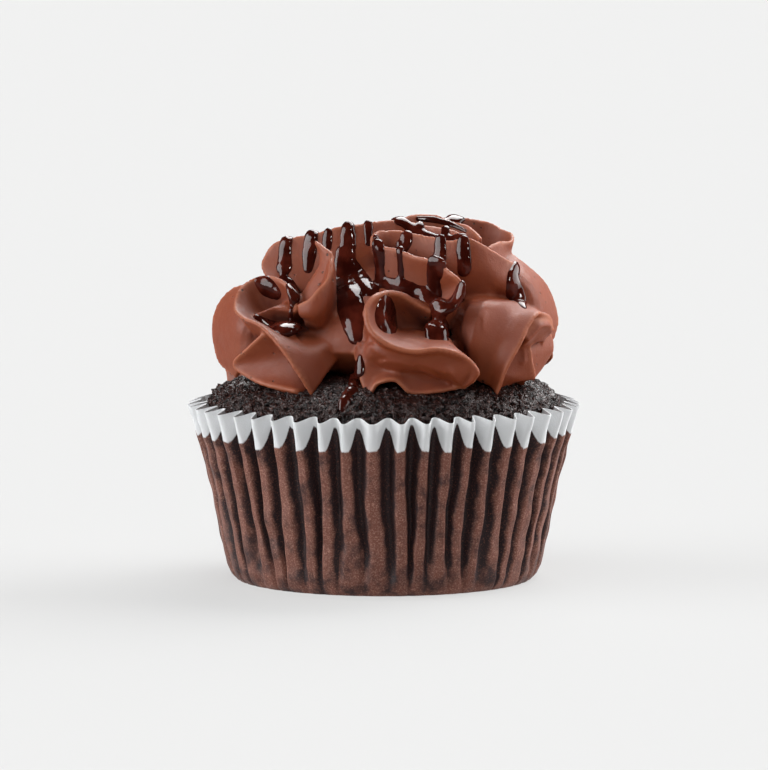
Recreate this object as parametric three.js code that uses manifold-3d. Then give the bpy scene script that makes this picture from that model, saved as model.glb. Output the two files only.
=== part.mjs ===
// A chocolate cupcake in its pleated paper case, with two tiers of piped, folded frosting.
// Millimetres, +Z up. The case stands on z = 0 and the origin is the middle of its foot.
// -Y is the front. A fold is a thin-rimmed sheet that widens towards the heart of the frosting.
import * as THREE from 'three';
import { ConvexGeometry } from 'three/addons/geometries/ConvexGeometry.js';
import { mergeVertices } from 'three/addons/utils/BufferGeometryUtils.js';
import Module from 'manifold-3d';

const wasm = await Module();
wasm.setup();

// ---------- driving dimensions ----------
const caseHeight = 32;
const rimRadius = 35.2;
const rimDip = 0.8; // the rim stands this much lower on a ridge than in a valley
const pleatCount = 48;
const pleatWander = 0.22; // share of a pleat's pitch by which the pleats stray
const paperWall = 0.6;
const clearance = 0.3;

// the case's outer wall over the ridges of the pleats: height, radius, depth of the pleats
const caseWall = [
  { z: 0, radius: 26.8, depth: 0.4 },
  { z: 2.4, radius: 28.3, depth: 0.8 },
  { z: 26.5, radius: 33.6, depth: 2.2 },
  { z: caseHeight, radius: rimRadius, depth: 2.5 },
];

// the cake's crown above the paper, from its shoulder to the middle: radius, height
const cakeCrown = [
  [30.6, 31.4], [29.8, 33.2], [28.4, 34.5], [26, 35.7], [23, 36.7], [12, 38.2], [0, 38.6],
];
const cakeSegments = 48;

// the heart of the frosting, which carries the folds: radius, height
const frostingHeart = [
  [0, 34], [13, 35], [17, 39.5], [20, 42], [17.5, 48], [14.5, 51.5], [6, 57], [0, 58],
];
const heartSegments = 14;

const rimThickness = 0.9; // of a fold at its free edge
const swelling = 1.5; // how late a fold thickens on its way to its root
const endShare = 0.4; // share of the thickness that is left at the two ends of a fold
const sliverSize = 0.1; // facets narrower than this, left where folds cross, are closed up
const seatFoot = 20; // the cut that seats the frosting on the cake starts at this height
const seatRadius = 40; // and reaches out to this radius

// Each fold is a sheet stretched over rails, from its free rim to its root in the frosting. It
// thickens from the rim to the root, to the side given, or to both sides when that is 0.
const folds = {
  leftCup: {
    rails: [
      [[-12.5, -24, 35], [-18.5, -23, 44], [-22, -20, 47.5], [-26.5, -13, 50], [-25.5, -10, 53],
        [-20.5, -9, 55], [-18, -11.5, 54], [-15.5, -14.5, 49.5]],
      [[-10, -21, 38.5], [-17.5, -16, 45.5], [-21.5, -8.5, 50], [-16, -13, 47.5]],
      [[-7, -15.5, 41.5], [-15, -12, 46], [-17.5, -12, 45.5]],
    ],
    thickness: 8, side: 1,
  },
  leftFacet: {
    rails: [
      [[-21.5, -19.5, 45.5], [-27, -14.5, 39.5], [-24, -17, 37.5], [-15.5, -22.5, 36]],
      [[-17.5, -19.5, 44], [-14.5, -20.5, 39], [-13, -22, 36]],
    ],
    thickness: 7, side: -1,
  },
  leftLobe: {
    rails: [
      [[-24, -4, 53.5], [-30, -1, 49], [-31, -0.5, 45], [-30.5, -1, 41], [-26.5, -8.5, 36.5]],
      [[-24, -7.5, 52], [-26, -12, 42.5], [-25, -12.5, 38.5]],
      [[-21.5, -8, 50.5], [-20.5, -14, 45.5], [-20.5, -16, 38.5]],
    ],
    thickness: 9, side: -1,
  },
  frontCup: {
    rails: [
      [[14, -24, 36], [17, -25, 39.5], [15.5, -25.5, 41.5], [9, -28.5, 44], [2.5, -28.5, 44],
        [-0.5, -28, 45.5], [-3, -25.5, 50.5], [0.5, -22, 53], [3, -21, 52.5], [8.5, -20, 49.5]],
      [[12, -21, 38], [11.5, -24, 44.5], [1.5, -24, 46], [0, -21.5, 49], [8.5, -19, 47.5]],
      [[10, -17, 38.5], [7.5, -20, 46], [3.5, -20, 46.5], [8, -17.5, 46]],
    ],
    thickness: 8, side: 1, edge: 1,
  },
  frontCurtain: {
    rails: [
      [[-5.5, -19.5, 42], [-4.5, -23, 38], [-3, -25, 35], [0, -25.5, 38], [3.5, -25.5, 36.5],
        [5, -25.5, 35.5], [15, -23.5, 37]],
      [[-5, -20.5, 42.5], [0, -22.5, 40], [3.5, -23.5, 39.5], [13, -23, 37.5]],
      [[-5.5, -20, 43], [0, -25, 42], [4, -26.5, 41.5], [13.5, -25.5, 37]],
      [[-5.5, -20, 43.5], [0.5, -25.5, 43], [4.5, -27, 42.5], [15.5, -25.5, 40.5]],
    ],
    thickness: 7, side: -1,
  },
  rightFan: {
    rails: [
      [[19.5, -21.5, 35], [24, -21, 44], [25.5, -19, 47], [28, -14.5, 49], [29.5, -12, 48],
        [30.5, -8.5, 45]],
      [[18.5, -18, 36], [22.5, -15.5, 48.5], [28, -8, 48]],
      [[16, -17, 37], [16.5, -18.5, 50.5], [26, -7, 49]],
      [[13, -13, 38.5], [14.5, -13.5, 51], [24.5, -3, 50]],
    ],
    thickness: 7, side: -1,
  },
  rightPad: {
    rails: [
      [[24.5, -18, 45], [27, -15.5, 47.5], [29, -12.5, 47.5], [30, -9.5, 46]],
      [[23, -14, 44], [27, -9, 45], [27.5, -6, 44.5]],
    ],
    thickness: 5, side: 0, edge: 3,
  },
  rightRidge: {
    rails: [
      [[24.5, -13.5, 44.5], [26, -13.5, 43], [26.5, -13, 40.5], [27, -12, 38], [27, -11, 36.5]],
      [[22, -16, 43.5], [21, -17, 38.5], [20.5, -18, 36]],
    ],
    thickness: 7, side: 1, edge: 2,
  },
  rightLowLobe: {
    rails: [
      [[28.5, -7, 46.5], [30.5, -3.5, 41.5], [29.5, -4.5, 39.5], [26.5, -9, 36]],
      [[26, -13, 44.5], [26.5, -12.5, 41], [27, -11.5, 37.5]],
    ],
    thickness: 9, side: 1,
  },
  rightLobe: {
    rails: [
      [[22.5, 2, 58.5], [26.5, 0, 55.5], [30.5, 1.5, 50], [31.3, 1.5, 47], [30.5, -1, 42.5]],
      [[21.5, -5, 57], [26.5, -9, 52.5], [28, -8, 45]],
      [[19.5, -7, 57], [22, -11, 50], [24, -10, 46]],
    ],
    thickness: 9, side: 1,
  },
  upperLeftFold: {
    rails: [
      [[-12, -10, 61.5], [-9, -13, 59.5], [-9, -14, 58.5], [-10, -17, 55], [-12, -18, 53],
        [-15.5, -17, 50.5]],
      [[-10, -9, 57], [-8.5, -15, 53], [-10, -18, 50], [-15, -17.5, 48.5]],
      [[-9.5, -8, 52], [-8.5, -13, 48], [-13.5, -15, 46]],
    ],
    thickness: 6, side: -1,
  },
  backWall: {
    rails: [
      [[-20.5, -6, 53], [-21.5, -3.5, 58], [-19.5, -3.5, 60.5], [-11.5, -5, 62.5], [-4, -5, 64],
        [3.5, -3, 64.5], [8, -3, 63.5], [15, -7, 61.5]],
      [[-19.5, -7, 53.5], [-13, -6, 58], [-2, -6.5, 60], [12.5, -6, 60]],
      [[-17.5, -8, 52.5], [-7, -8, 55], [10, -6, 57]],
    ],
    thickness: 6, side: 1,
  },
  topFrontScroll: {
    rails: [
      [[-2, -11, 60], [0, -13, 60.5], [2.5, -14.5, 60], [7.5, -17.5, 58.5], [12, -20, 56],
        [13.5, -21, 52.5], [12.5, -21.5, 51], [8.5, -20, 49.5]],
      [[-2, -11.5, 57.5], [5, -15, 55.5], [10.5, -17, 53], [8.5, -18.5, 50]],
      [[-1, -11.5, 53.5], [6, -15, 51], [8, -16.5, 50]],
    ],
    thickness: 6, side: 1,
  },
  topRightFin: {
    rails: [
      [[-2, -11, 60], [-1, -9, 63], [0.5, -8, 63], [5.5, -9, 62.5], [11.5, -12, 61.5],
        [16.5, -12.5, 61.5], [19, -11.5, 60], [24, -7.5, 57]],
      [[-1, -9.5, 59.5], [7.5, -11, 58], [12.5, -13, 57], [23, -11, 52.5]],
      [[0, -8, 54], [11.5, -11.5, 52], [23.5, -9, 49.5]],
    ],
    thickness: 7, side: 1,
  },
  crest: {
    rails: [
      [[2.5, -1, 64.5], [6, 1, 65.3], [12, 1.5, 64], [14.5, 0, 63.5], [17, -6, 61.5]],
      [[3.5, -2, 58.5], [13.5, -3, 57], [16, -6, 57.5]],
    ],
    thickness: 5, side: 1,
  },
  backLobe: {
    rails: [
      [[8.5, 4, 61.5], [14, 8, 64], [17.5, 9, 63.5], [21.5, 7, 62], [23, 1.5, 60.5], [21.5, -1, 60.5],
        [18.5, -7, 60]],
      [[9, 3, 55.5], [16, 7, 53], [19.5, 4, 53], [18.5, -7, 54]],
    ],
    thickness: 4, side: 0,
  },
};

// The folds that the back repeats: name, turn about the upright axis in degrees, lift.
const backFolds = [
  ['leftCup', 155, 0], ['leftFacet', 155, 0], ['upperLeftFold', 155, 0], ['frontCup', 155, 0],
  ['frontCurtain', 155, 0], ['topFrontScroll', 155, 0], ['topRightFin', 155, -3.5], ['rightFan', 155, 0],
  ['rightPad', 155, 0], ['rightRidge', 155, 0], ['rightLowLobe', 155, 0], ['rightLobe', 150, -4.5],
  ['leftCup', -65, -3], ['leftFacet', -65, -3], ['upperLeftFold', -65, -3], ['backWall', 200, -1.5],
];

// ---------- solids ----------
// One closed body as a manifold-3d solid, turned inside out first if its faces point in.
function solidFrom(points, triangles) {
  const positions = new Float32Array(points.flat());
  const geometry = new THREE.BufferGeometry();
  geometry.setAttribute('position', new THREE.BufferAttribute(positions, 3));
  geometry.setIndex(triangles.flat());
  if (enclosedVolume(points, triangles) < 0) {
    geometry.setIndex(triangles.map(([a, b, c]) => [a, c, b]).flat());
  }
  return solidFromGeometry(geometry);
}

function enclosedVolume(points, triangles) {
  const corner = points.map((point) => new THREE.Vector3(...point));
  const volumes = triangles.map(([a, b, c]) => corner[a].dot(corner[b].clone().cross(corner[c])) / 6);
  return volumes.reduce((sum, volume) => sum + volume, 0);
}

function solidFromGeometry(geometry) {
  const bare = geometry.clone();
  bare.deleteAttribute('normal');
  bare.deleteAttribute('uv');
  const merged = mergeVertices(bare, 1e-4);
  return new wasm.Manifold(new wasm.Mesh({
    numProp: 3,
    vertProperties: new Float32Array(merged.attributes.position.array),
    triVerts: new Uint32Array(merged.index.array),
  }));
}

function geometryFrom(solid) {
  const mesh = solid.getMesh();
  const geometry = new THREE.BufferGeometry();
  geometry.setAttribute('position', new THREE.BufferAttribute(new Float32Array(mesh.vertProperties), 3));
  geometry.setIndex(new THREE.BufferAttribute(new Uint32Array(mesh.triVerts), 1));
  geometry.computeVertexNormals();
  return geometry;
}

// A body of revolution about Z from (radius, height) pairs that start and end on the axis.
function turned(profile, segments) {
  const outline = profile.map(([radius, height]) => new THREE.Vector2(radius, height));
  return new THREE.LatheGeometry(outline, segments).rotateX(Math.PI / 2);
}

// ---------- paper case ----------
// The case is rings of points, one for each height, outside and then inside, joined ring to ring.
function pleatAngles() {
  const angles = [];
  const pitch = (2 * Math.PI) / pleatCount;
  for (let i = 0; i < pleatCount; i += 1) {
    const onAxis = i % (pleatCount / 4) === 0; // the case is as wide as it is deep
    const stray = onAxis ? 0 : Math.sin(i * 2.4) * Math.cos(i * 1.1) * pleatWander;
    angles.push((i + stray) * pitch);
  }
  return angles;
}

// Four points for each pleat: the ridge's two shoulders, then the valley's two.
function pleatedRing({ z, radius, depth }, inset, dip) {
  const angles = pleatAngles();
  const ring = [];
  angles.forEach((angle, i) => {
    const next = i + 1 < pleatCount ? angles[i + 1] : angles[0] + 2 * Math.PI;
    const share = (part) => angle + (next - angle) * part;
    [[0, 0], [0.3, 0], [0.5, 1], [0.8, 1]].forEach(([part, isValley]) => {
      const r = radius - inset - depth * isValley;
      ring.push([r * Math.cos(share(part)), r * Math.sin(share(part)), z - dip * (1 - isValley)]);
    });
  });
  return ring;
}

function closedRings(rings) {
  const points = rings.flat();
  const count = rings[0].length;
  const triangles = [];
  for (let row = 0; row + 1 < rings.length; row += 1) {
    for (let i = 0; i < count; i += 1) {
      const j = (i + 1) % count;
      const [a, b, c, d] = [row * count + i, row * count + j, (row + 1) * count + j, (row + 1) * count + i];
      triangles.push([a, b, c], [a, c, d]);
    }
  }
  const firstHub = points.push([0, 0, rings[0][0][2]]) - 1;
  const lastHub = points.push([0, 0, rings.at(-1)[0][2]]) - 1;
  const last = (rings.length - 1) * count;
  for (let i = 0; i < count; i += 1) {
    const j = (i + 1) % count;
    triangles.push([firstHub, j, i], [lastHub, last + i, last + j]);
  }
  return solidFrom(points, triangles);
}

function paperCase() {
  const outer = caseWall.map((row) => pleatedRing(row, 0, row.z === caseHeight ? rimDip : 0));
  const inner = caseWall.map((row) => pleatedRing(
    { ...row, z: Math.max(row.z, paperWall) }, paperWall, row.z === caseHeight ? rimDip : 0,
  )).reverse();
  return closedRings([...outer, ...inner]);
}

// ---------- cake ----------
// The cake fills the case up to the valleys of its pleats, less the clearance.
function cakeRadiusAt(row) {
  return row.radius - row.depth - paperWall - clearance;
}

function cakeProfile() {
  const foot = paperWall + clearance;
  const sides = caseWall.slice(1, -1).map((row) => [cakeRadiusAt(row), row.z]);
  return [[0, foot], [cakeRadiusAt(caseWall[0]), foot], ...sides, ...cakeCrown];
}

// ---------- frosting ----------
// A rib is the outline of the fold's section at one place along it: out along one face of the
// sheet and back along the other.
function foldRib(curves, t, fold) {
  const across = curves.map((curve) => curve.getPoint(t));
  if (across.length === 2) {
    across.splice(1, 0, across[0].clone().lerp(across[1], 0.5));
  }
  const along = curves[0].getTangent(t).add(curves.at(-1).getTangent(t));
  const edge = fold.edge ?? rimThickness;
  const fullness = t === 0 || t === 1 ? endShare : 1;
  const sides = [[], []];
  across.forEach((point, k) => {
    const inward = across[Math.min(k + 1, across.length - 1)].clone().sub(across[Math.max(k - 1, 0)]);
    const normal = along.clone().cross(inward).normalize();
    const v = k / (across.length - 1);
    const half = (edge + (fold.thickness - edge) * fullness * v ** swelling) / 2;
    sides[0].push(point.clone().addScaledVector(normal, half * (fold.side + 1)).toArray());
    sides[1].push(point.clone().addScaledVector(normal, half * (fold.side - 1)).toArray());
  });
  return [...sides[0], ...sides[1].reverse()];
}

// The solid between two neighbouring ribs: one convex block for each step across the sheet.
function foldSegment(ribA, ribB) {
  const count = ribA.length;
  const blocks = [];
  for (let k = 0; k < count / 2 - 1; k += 1) {
    const corners = [k, k + 1, count - 2 - k, count - 1 - k];
    const points = [...corners.map((corner) => ribA[corner]), ...corners.map((corner) => ribB[corner])];
    const block = new ConvexGeometry(points.map((point) => new THREE.Vector3(...point)));
    blocks.push(solidFromGeometry(block));
  }
  return blocks.reduce((all, block) => all.add(block));
}

function foldSolid(fold, turnDegrees, lift) {
  const place = ([x, y, z]) => new THREE.Vector3(x, y, z + lift)
    .applyAxisAngle(new THREE.Vector3(0, 0, 1), THREE.MathUtils.degToRad(turnDegrees));
  const curves = fold.rails.map((rail) => new THREE.CatmullRomCurve3(rail.map(place)));
  const steps = fold.rails[0].length - 1;
  const ribs = [];
  for (let i = 0; i <= steps; i += 1) {
    ribs.push(foldRib(curves, i / steps, fold));
  }
  return ribs.slice(1).map((rib, i) => foldSegment(ribs[i], rib)).reduce((all, one) => all.add(one));
}

function frostingSolid() {
  let frosting = solidFromGeometry(turned(frostingHeart, heartSegments));
  Object.values(folds).forEach((fold) => {
    frosting = frosting.add(foldSolid(fold, 0, 0));
  });
  backFolds.forEach(([name, turnDegrees, lift]) => {
    frosting = frosting.add(foldSolid(folds[name], turnDegrees, lift));
  });
  const seat = [
    [0, seatFoot], [seatRadius, seatFoot], [seatRadius, cakeCrown[0][1]],
    ...cakeCrown.map(([radius, height]) => [radius, height + clearance]),
  ];
  const trimmed = frosting.subtract(solidFromGeometry(turned(seat, cakeSegments)));
  const pieces = trimmed.asOriginal().simplify(sliverSize).decompose();
  return pieces.reduce((largest, one) => (one.volume() > largest.volume() ? one : largest));
}

// ---------- the cupcake ----------
function named(name, geometry, colour, roughness) {
  const material = new THREE.MeshStandardMaterial({ color: colour, roughness, metalness: 0 });
  const mesh = new THREE.Mesh(geometry, material);
  mesh.name = name;
  return mesh;
}

const cake = solidFromGeometry(turned(cakeProfile(), cakeSegments));
const group = new THREE.Group();
group.add(named('paper_case', geometryFrom(paperCase()), 0x6e463c, 0.8));
group.add(named('cake', geometryFrom(cake), 0x2d2322, 0.9));
group.add(named('frosting', geometryFrom(frostingSolid()), 0x8a4a34, 0.4));

export default group;
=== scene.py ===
import math
import random

import bpy
from mathutils import Matrix, Vector, kdtree, noise
from mathutils.bvhtree import BVHTree


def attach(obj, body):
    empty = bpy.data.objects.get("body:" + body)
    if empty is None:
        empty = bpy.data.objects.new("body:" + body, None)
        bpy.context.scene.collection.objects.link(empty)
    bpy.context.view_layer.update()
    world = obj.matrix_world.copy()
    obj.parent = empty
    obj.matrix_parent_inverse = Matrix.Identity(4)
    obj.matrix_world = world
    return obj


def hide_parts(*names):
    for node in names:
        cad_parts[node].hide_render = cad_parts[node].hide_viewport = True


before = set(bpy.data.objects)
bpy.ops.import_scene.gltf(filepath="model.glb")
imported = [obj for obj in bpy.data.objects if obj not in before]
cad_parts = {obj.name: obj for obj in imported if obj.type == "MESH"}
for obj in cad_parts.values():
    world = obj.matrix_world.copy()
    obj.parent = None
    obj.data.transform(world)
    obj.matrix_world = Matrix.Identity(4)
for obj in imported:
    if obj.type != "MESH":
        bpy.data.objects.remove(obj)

mm = 0.001                      # sizes in the dictionaries are millimetres, the scene is metres
fullTurn = 2 * math.pi
cornerEase = 0.3                # share of the easing where numbersAt passes from row to row
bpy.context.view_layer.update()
random.seed(11)


# small helpers

def activate(piece):
    bpy.ops.object.select_all(action="DESELECT")
    piece.select_set(True)
    bpy.context.view_layer.objects.active = piece


def finishWith(piece, kind, **settings):
    activate(piece)
    modifier = piece.modifiers.new(kind.title(), kind)
    for setting, value in settings.items():
        setattr(modifier, setting, value)
    bpy.ops.object.modifier_apply(modifier=modifier.name)


def joinPieces(pieces, name):
    bpy.ops.object.select_all(action="DESELECT")
    for piece in pieces:
        piece.select_set(True)
    bpy.context.view_layer.objects.active = pieces[0]
    bpy.ops.object.join()
    joined = bpy.context.active_object
    joined.name = name
    joined.data.name = name
    return joined


def smoothStep(low, high, value):
    share = min(max((value - low) / (high - low), 0.0), 1.0)
    return share * share * (3 - 2 * share)


def mix(a, b, share):
    return a + (b - a) * share


def pointAlong(points, t):      # a smooth curve through the points, t from 0 to 1
    place = t * (len(points) - 1)
    i = min(int(place), len(points) - 2)
    f = place - i
    b, c = points[i], points[i + 1]
    a = points[i - 1] if i > 0 else b * 2 - c
    d = points[i + 2] if i + 2 < len(points) else c * 2 - b
    squared, cubed = a * 2 - b * 5 + c * 4 - d, b * 3 - a - c * 3 + d
    return (b * 2 + (c - a) * f + squared * f * f + cubed * f ** 3) / 2


def numbersAt(rows, height):    # rows of (height, value, value...), read between the two nearest
    for low, high in zip(rows, rows[1:]):
        if height <= high[0]:
            straight = (height - low[0]) / (high[0] - low[0])
            share = smoothStep(low[0], high[0], height) * cornerEase + (1 - cornerEase) * straight
            return [mix(p, q, share) for p, q in zip(low[1:], high[1:])]
    return list(rows[-1][1:])


def turnedBody(name, profile, segments):   # rings of (radius, height) in mm, closed by a fan at both ends
    (radius, height), rest = profile[0], profile[1:]
    bpy.ops.object.select_all(action="DESELECT")
    bpy.ops.mesh.primitive_circle_add(vertices=segments, radius=radius * mm, fill_type="TRIFAN",
                                      location=(0, 0, height * mm))
    body = bpy.context.active_object
    body.name = name
    bpy.ops.object.transform_apply(location=True)
    bpy.ops.object.mode_set(mode="EDIT")
    bpy.ops.mesh.select_all(action="SELECT")
    lastRadius, lastHeight = radius, height
    for radius, height in rest:
        step = (0, 0, (height - lastHeight) * mm)
        bpy.ops.mesh.extrude_region_move(TRANSFORM_OT_translate={"value": step})
        scale = radius / lastRadius
        bpy.ops.transform.resize(value=(scale, scale, 1), center_override=(0, 0, height * mm))
        lastRadius, lastHeight = radius, height
    bpy.ops.mesh.select_all(action="SELECT")
    bpy.ops.mesh.normals_make_consistent(inside=False)
    bpy.ops.object.mode_set(mode="OBJECT")
    return body


# camera and light

camera = {
    "place": (0.0, -1.0, 0.138),        # in metres, as the aim and the farthest are
    "aim": (0.0, 0.0, 0.0345),
    "lens": 262.0,
    "farthest": 50.0,
}

studio = {
    "backdrop": (0.88, 0.88, 0.875, 1),
    "floorSize": 12.0,
    "floor": {"Base Color": (0.193, 0.193, 0.192, 1), "Roughness": 0.9, "Specular IOR Level": 0.0,
              "Emission Color": (0.532, 0.532, 0.53, 1), "Emission Strength": 1.0},     # a lit table
    # azimuth from the camera's side (right is positive), elevation, angular size, strength, colour, and
    # whether it gives the matte light or the gloss
    "suns": {
        "leftFill": (-85, 18, 60, 3.5, (0.98, 0.99, 1.0), "matte"),
        "rightFill": (112, 18, 60, 4.1, (1.0, 1.0, 1.0), "matte"),
        "backFill": (150, 38, 60, 3.3, (1.0, 1.0, 1.0), "matte"),
        "frontFill": (-10, 60, 60, 1.4, (1.0, 1.0, 1.0), "matte"),
        "leftGlint": (-70, 16, 60, 13.5, (0.98, 0.99, 1.0), "gloss"),
        "rightGlint": (105, 10, 50, 5.0, (1.0, 1.0, 1.0), "gloss"),
        "backGlint": (155, 58, 50, 14.0, (1.0, 1.0, 1.0), "gloss"),
        "window": (38, 26, 9, 2.0, (1.0, 0.99, 0.98), "gloss"),
    },
}


def lookAt(thing, target):
    direction = Vector(target) - thing.location
    thing.rotation_euler = direction.to_track_quat("-Z", "Y").to_euler()


def makeStudio():
    bpy.ops.mesh.primitive_plane_add(size=studio["floorSize"], location=(0, 0, 0))
    floor = bpy.context.active_object
    floor.name = "floor"
    material = newMaterial("paleFloor")
    setInputs(material, studio["floor"])
    floor.data.materials.append(material)

    world = bpy.data.worlds.new("studio")
    bpy.context.scene.world = world
    world.use_nodes = True
    world.node_tree.nodes["Background"].inputs["Color"].default_value = studio["backdrop"]
    world.cycles_visibility.diffuse = False     # the suns alone give the light
    world.cycles_visibility.glossy = False

    for name, (azimuth, elevation, spread, strength, colour, gives) in studio["suns"].items():
        turn, rise = math.radians(azimuth), math.radians(elevation)
        place = Vector((math.sin(turn) * math.cos(rise), -math.cos(turn) * math.cos(rise), math.sin(rise)))
        bpy.ops.object.light_add(type="SUN", location=place)
        sun = bpy.context.active_object
        sun.name = name
        sun.data.angle = math.radians(spread)
        sun.data.energy = strength
        sun.data.color = colour
        sun.visible_diffuse = gives == "matte"
        sun.visible_glossy = gives == "gloss"
        lookAt(sun, (0, 0, 0))

    bpy.ops.object.camera_add(location=camera["place"])
    eye = bpy.context.active_object
    eye.data.lens = camera["lens"]
    eye.data.clip_end = camera["farthest"]
    lookAt(eye, camera["aim"])
    bpy.context.scene.camera = eye
    bpy.context.scene.view_settings.view_transform = "Standard"
    print("studio: floor, camera and", len(studio["suns"]), "suns")


# materials

def newMaterial(name):
    material = bpy.data.materials.new(name)
    material.use_nodes = True
    return material


def setInputs(material, values):
    shader = material.node_tree.nodes["Principled BSDF"]
    for socket, value in values.items():
        shader.inputs[socket].default_value = value


class Wiring:                   # short hands for adding and joining nodes
    def __init__(self, material):
        self.tree = material.node_tree
        self.shader = self.tree.nodes["Principled BSDF"]
        self.place = self.add("ShaderNodeTexCoord").outputs["Object"]

    def add(self, kind, **values):
        node = self.tree.nodes.new(kind)
        for name, value in values.items():
            if name in node.inputs:
                self.feed(node.inputs[name], value)
            else:
                setattr(node, name, value)
        return node

    def feed(self, socket, value):
        if isinstance(value, bpy.types.NodeSocket):
            self.tree.links.new(value, socket)
        else:
            socket.default_value = value

    def noise(self, scale, detail, rough):
        node = self.add("ShaderNodeTexNoise", Vector=self.place, Scale=scale, Detail=detail, Roughness=rough)
        return node.outputs["Fac"]

    def cells(self, scale):
        return self.add("ShaderNodeTexVoronoi", Vector=self.place, Scale=scale).outputs["Distance"]

    def attribute(self, name):
        return self.add("ShaderNodeAttribute", attribute_name=name).outputs["Fac"]

    def range(self, value, low, high, toLow=0.0, toHigh=1.0):
        node = self.add("ShaderNodeMapRange", interpolation_type="SMOOTHSTEP")
        for name, number in zip(("Value", "From Min", "From Max", "To Min", "To Max"),
                                (value, low, high, toLow, toHigh)):
            self.feed(node.inputs[name], number)
        return node.outputs["Result"]

    def math(self, operation, a, b=0.0):
        node = self.add("ShaderNodeMath", operation=operation)
        self.feed(node.inputs[0], a)
        self.feed(node.inputs[1], b)
        return node.outputs["Value"]

    def blend(self, share, a, b):
        node = self.add("ShaderNodeMix", data_type="RGBA")
        self.feed(node.inputs["Factor"], share)
        for socket, colour in zip((one for one in node.inputs if one.type == "RGBA"), (a, b)):
            self.feed(socket, colour)
        return next(one for one in node.outputs if one.type == "RGBA")

    def bump(self, height, strength, distance, under=None):
        node = self.add("ShaderNodeBump", Strength=strength, Distance=distance)
        self.feed(node.inputs["Height"], height)
        if under is not None:
            self.feed(node.inputs["Normal"], under)
        return node.outputs["Normal"]


# in the looks a noise is its scale, detail and roughness, a band is the two values that a pattern is
# sharpened between, a relief is a bump's strength and its height in metres, and plain is what is the
# same all over

frostingLook = {
    "body": (0.203, 0.0384, 0.0118, 1),
    "pale": (0.220, 0.0475, 0.0166, 1),
    "cloudNoise": (120, 4, 0.5),
    "cloudBand": (0.35, 0.65),
    # painted shade: the darker, redder colour the frosting takes where it shuts itself in
    "hollow": (0.070, 0.0090, 0.0028, 1),
    "hollowShadeBand": (0.35, 0.9),
    # painted glow: lighter orange where light shines through the thin rims of the folds
    "rim": (0.36, 0.110, 0.05, 1),
    "rimGlowShare": 0.7,            # how far a thin rim takes the painted glow
    # painted shade: the dark of the small air pits
    "pitShade": (0.06, 0.018, 0.009, 1),
    "pitScale": 560,
    "pitBand": (0.10, 0.17),
    "pitRelief": (0.6, 0.0003),
    "sparseNoise": (130, 2, 0.5),       # leaves the pits in a few places only
    "sparseBand": (0.54, 0.60),
    "satin": 0.55,              # roughness in the open
    "dull": 0.85,               # roughness in the hollows
    "dullBand": (0.15, 0.8),
    "patchNoise": (500, 4, 0.5),
    "patchBand": (0.3, 0.7),
    "patches": (-0.05, 0.06),   # what the patches add to the roughness
    "fineNoise": (2600, 3, 0.6),
    "fineRelief": (0.22, 0.0002),
    "softNoise": (260, 3, 0.5),
    "softRelief": (0.20, 0.0006),
    "plain": {"Specular IOR Level": 0.12, "Subsurface Weight": 0.12, "Subsurface Radius": (1.0, 0.35, 0.18),
              "Subsurface Scale": 0.0012},
}


def frostingMaterial():
    look = frostingLook
    material = newMaterial("milkChocolateFrosting")
    wires = Wiring(material)
    hollow = wires.attribute("hollow")
    cloud = wires.range(wires.noise(*look["cloudNoise"]), *look["cloudBand"])
    colour = wires.blend(cloud, look["body"], look["pale"])
    # painted shade in the hollows, from the hollow attribute
    colour = wires.blend(wires.range(hollow, *look["hollowShadeBand"]), colour, look["hollow"])
    # painted glow along the thin rims
    rim = wires.math("MULTIPLY", wires.attribute("rim"), look["rimGlowShare"])
    colour = wires.blend(rim, colour, look["rim"])
    sparse = wires.range(wires.noise(*look["sparseNoise"]), *look["sparseBand"])
    pits = wires.range(wires.cells(look["pitScale"]), *look["pitBand"])         # 0 in a pit, 1 around it
    pits = wires.math("MAXIMUM", pits, wires.math("SUBTRACT", 1.0, sparse))
    # painted shade in the pits
    wires.feed(wires.shader.inputs["Base Color"], wires.blend(pits, look["pitShade"], colour))
    fine = wires.bump(wires.noise(*look["fineNoise"]), *look["fineRelief"])
    soft = wires.bump(wires.noise(*look["softNoise"]), *look["softRelief"], fine)
    wires.feed(wires.shader.inputs["Normal"], wires.bump(pits, *look["pitRelief"], soft))
    low, high = (look["satin"] + change for change in look["patches"])
    patches = wires.range(wires.noise(*look["patchNoise"]), *look["patchBand"], low, high)
    dulled = wires.range(hollow, *look["dullBand"], 0.0, look["dull"] - look["satin"])
    wires.feed(wires.shader.inputs["Roughness"], wires.math("ADD", patches, dulled))
    setInputs(material, look["plain"])
    return material


sauceLook = {
    "deep": (0.034, 0.0045, 0.0026, 1),
    "thin": (0.085, 0.013, 0.007, 1),
    "depthNoise": (320, 2, 0.5),
    "depthBand": (0.4, 0.7),
    "rippleNoise": (700, 2, 0.5),
    "rippleRelief": (0.05, 0.0004),
    "plain": {"Roughness": 0.07, "Specular IOR Level": 0.12},
}


def sauceMaterial():
    look = sauceLook
    material = newMaterial("darkChocolateSauce")
    wires = Wiring(material)
    depth = wires.range(wires.noise(*look["depthNoise"]), *look["depthBand"])
    wires.feed(wires.shader.inputs["Base Color"], wires.blend(depth, look["deep"], look["thin"]))
    ripples = wires.bump(wires.noise(*look["rippleNoise"]), *look["rippleRelief"])
    wires.feed(wires.shader.inputs["Normal"], ripples)
    setInputs(material, look["plain"])
    return material


cakeLook = {
    "crumb": (0.024, 0.0082, 0.0064, 1),
    # lighter crumb specks, partly painted glints
    "speckAndGlint": (0.115, 0.046, 0.036, 1),
    # painted shade: near black in the crumb's pores
    "poreShade": (0.006, 0.0020, 0.0016, 1),
    "grainNoise": (1500, 2, 0.6),
    "grainBand": (0.58, 0.72),
    "grainRelief": (0.8, 0.0009),
    "poreNoise": (1000, 3, 0.6),
    "poreBand": (0.38, 0.50),
    "poreRelief": (0.8, 0.0005),
    "plain": {"Roughness": 0.22, "Specular IOR Level": 0.13},
}


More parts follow.
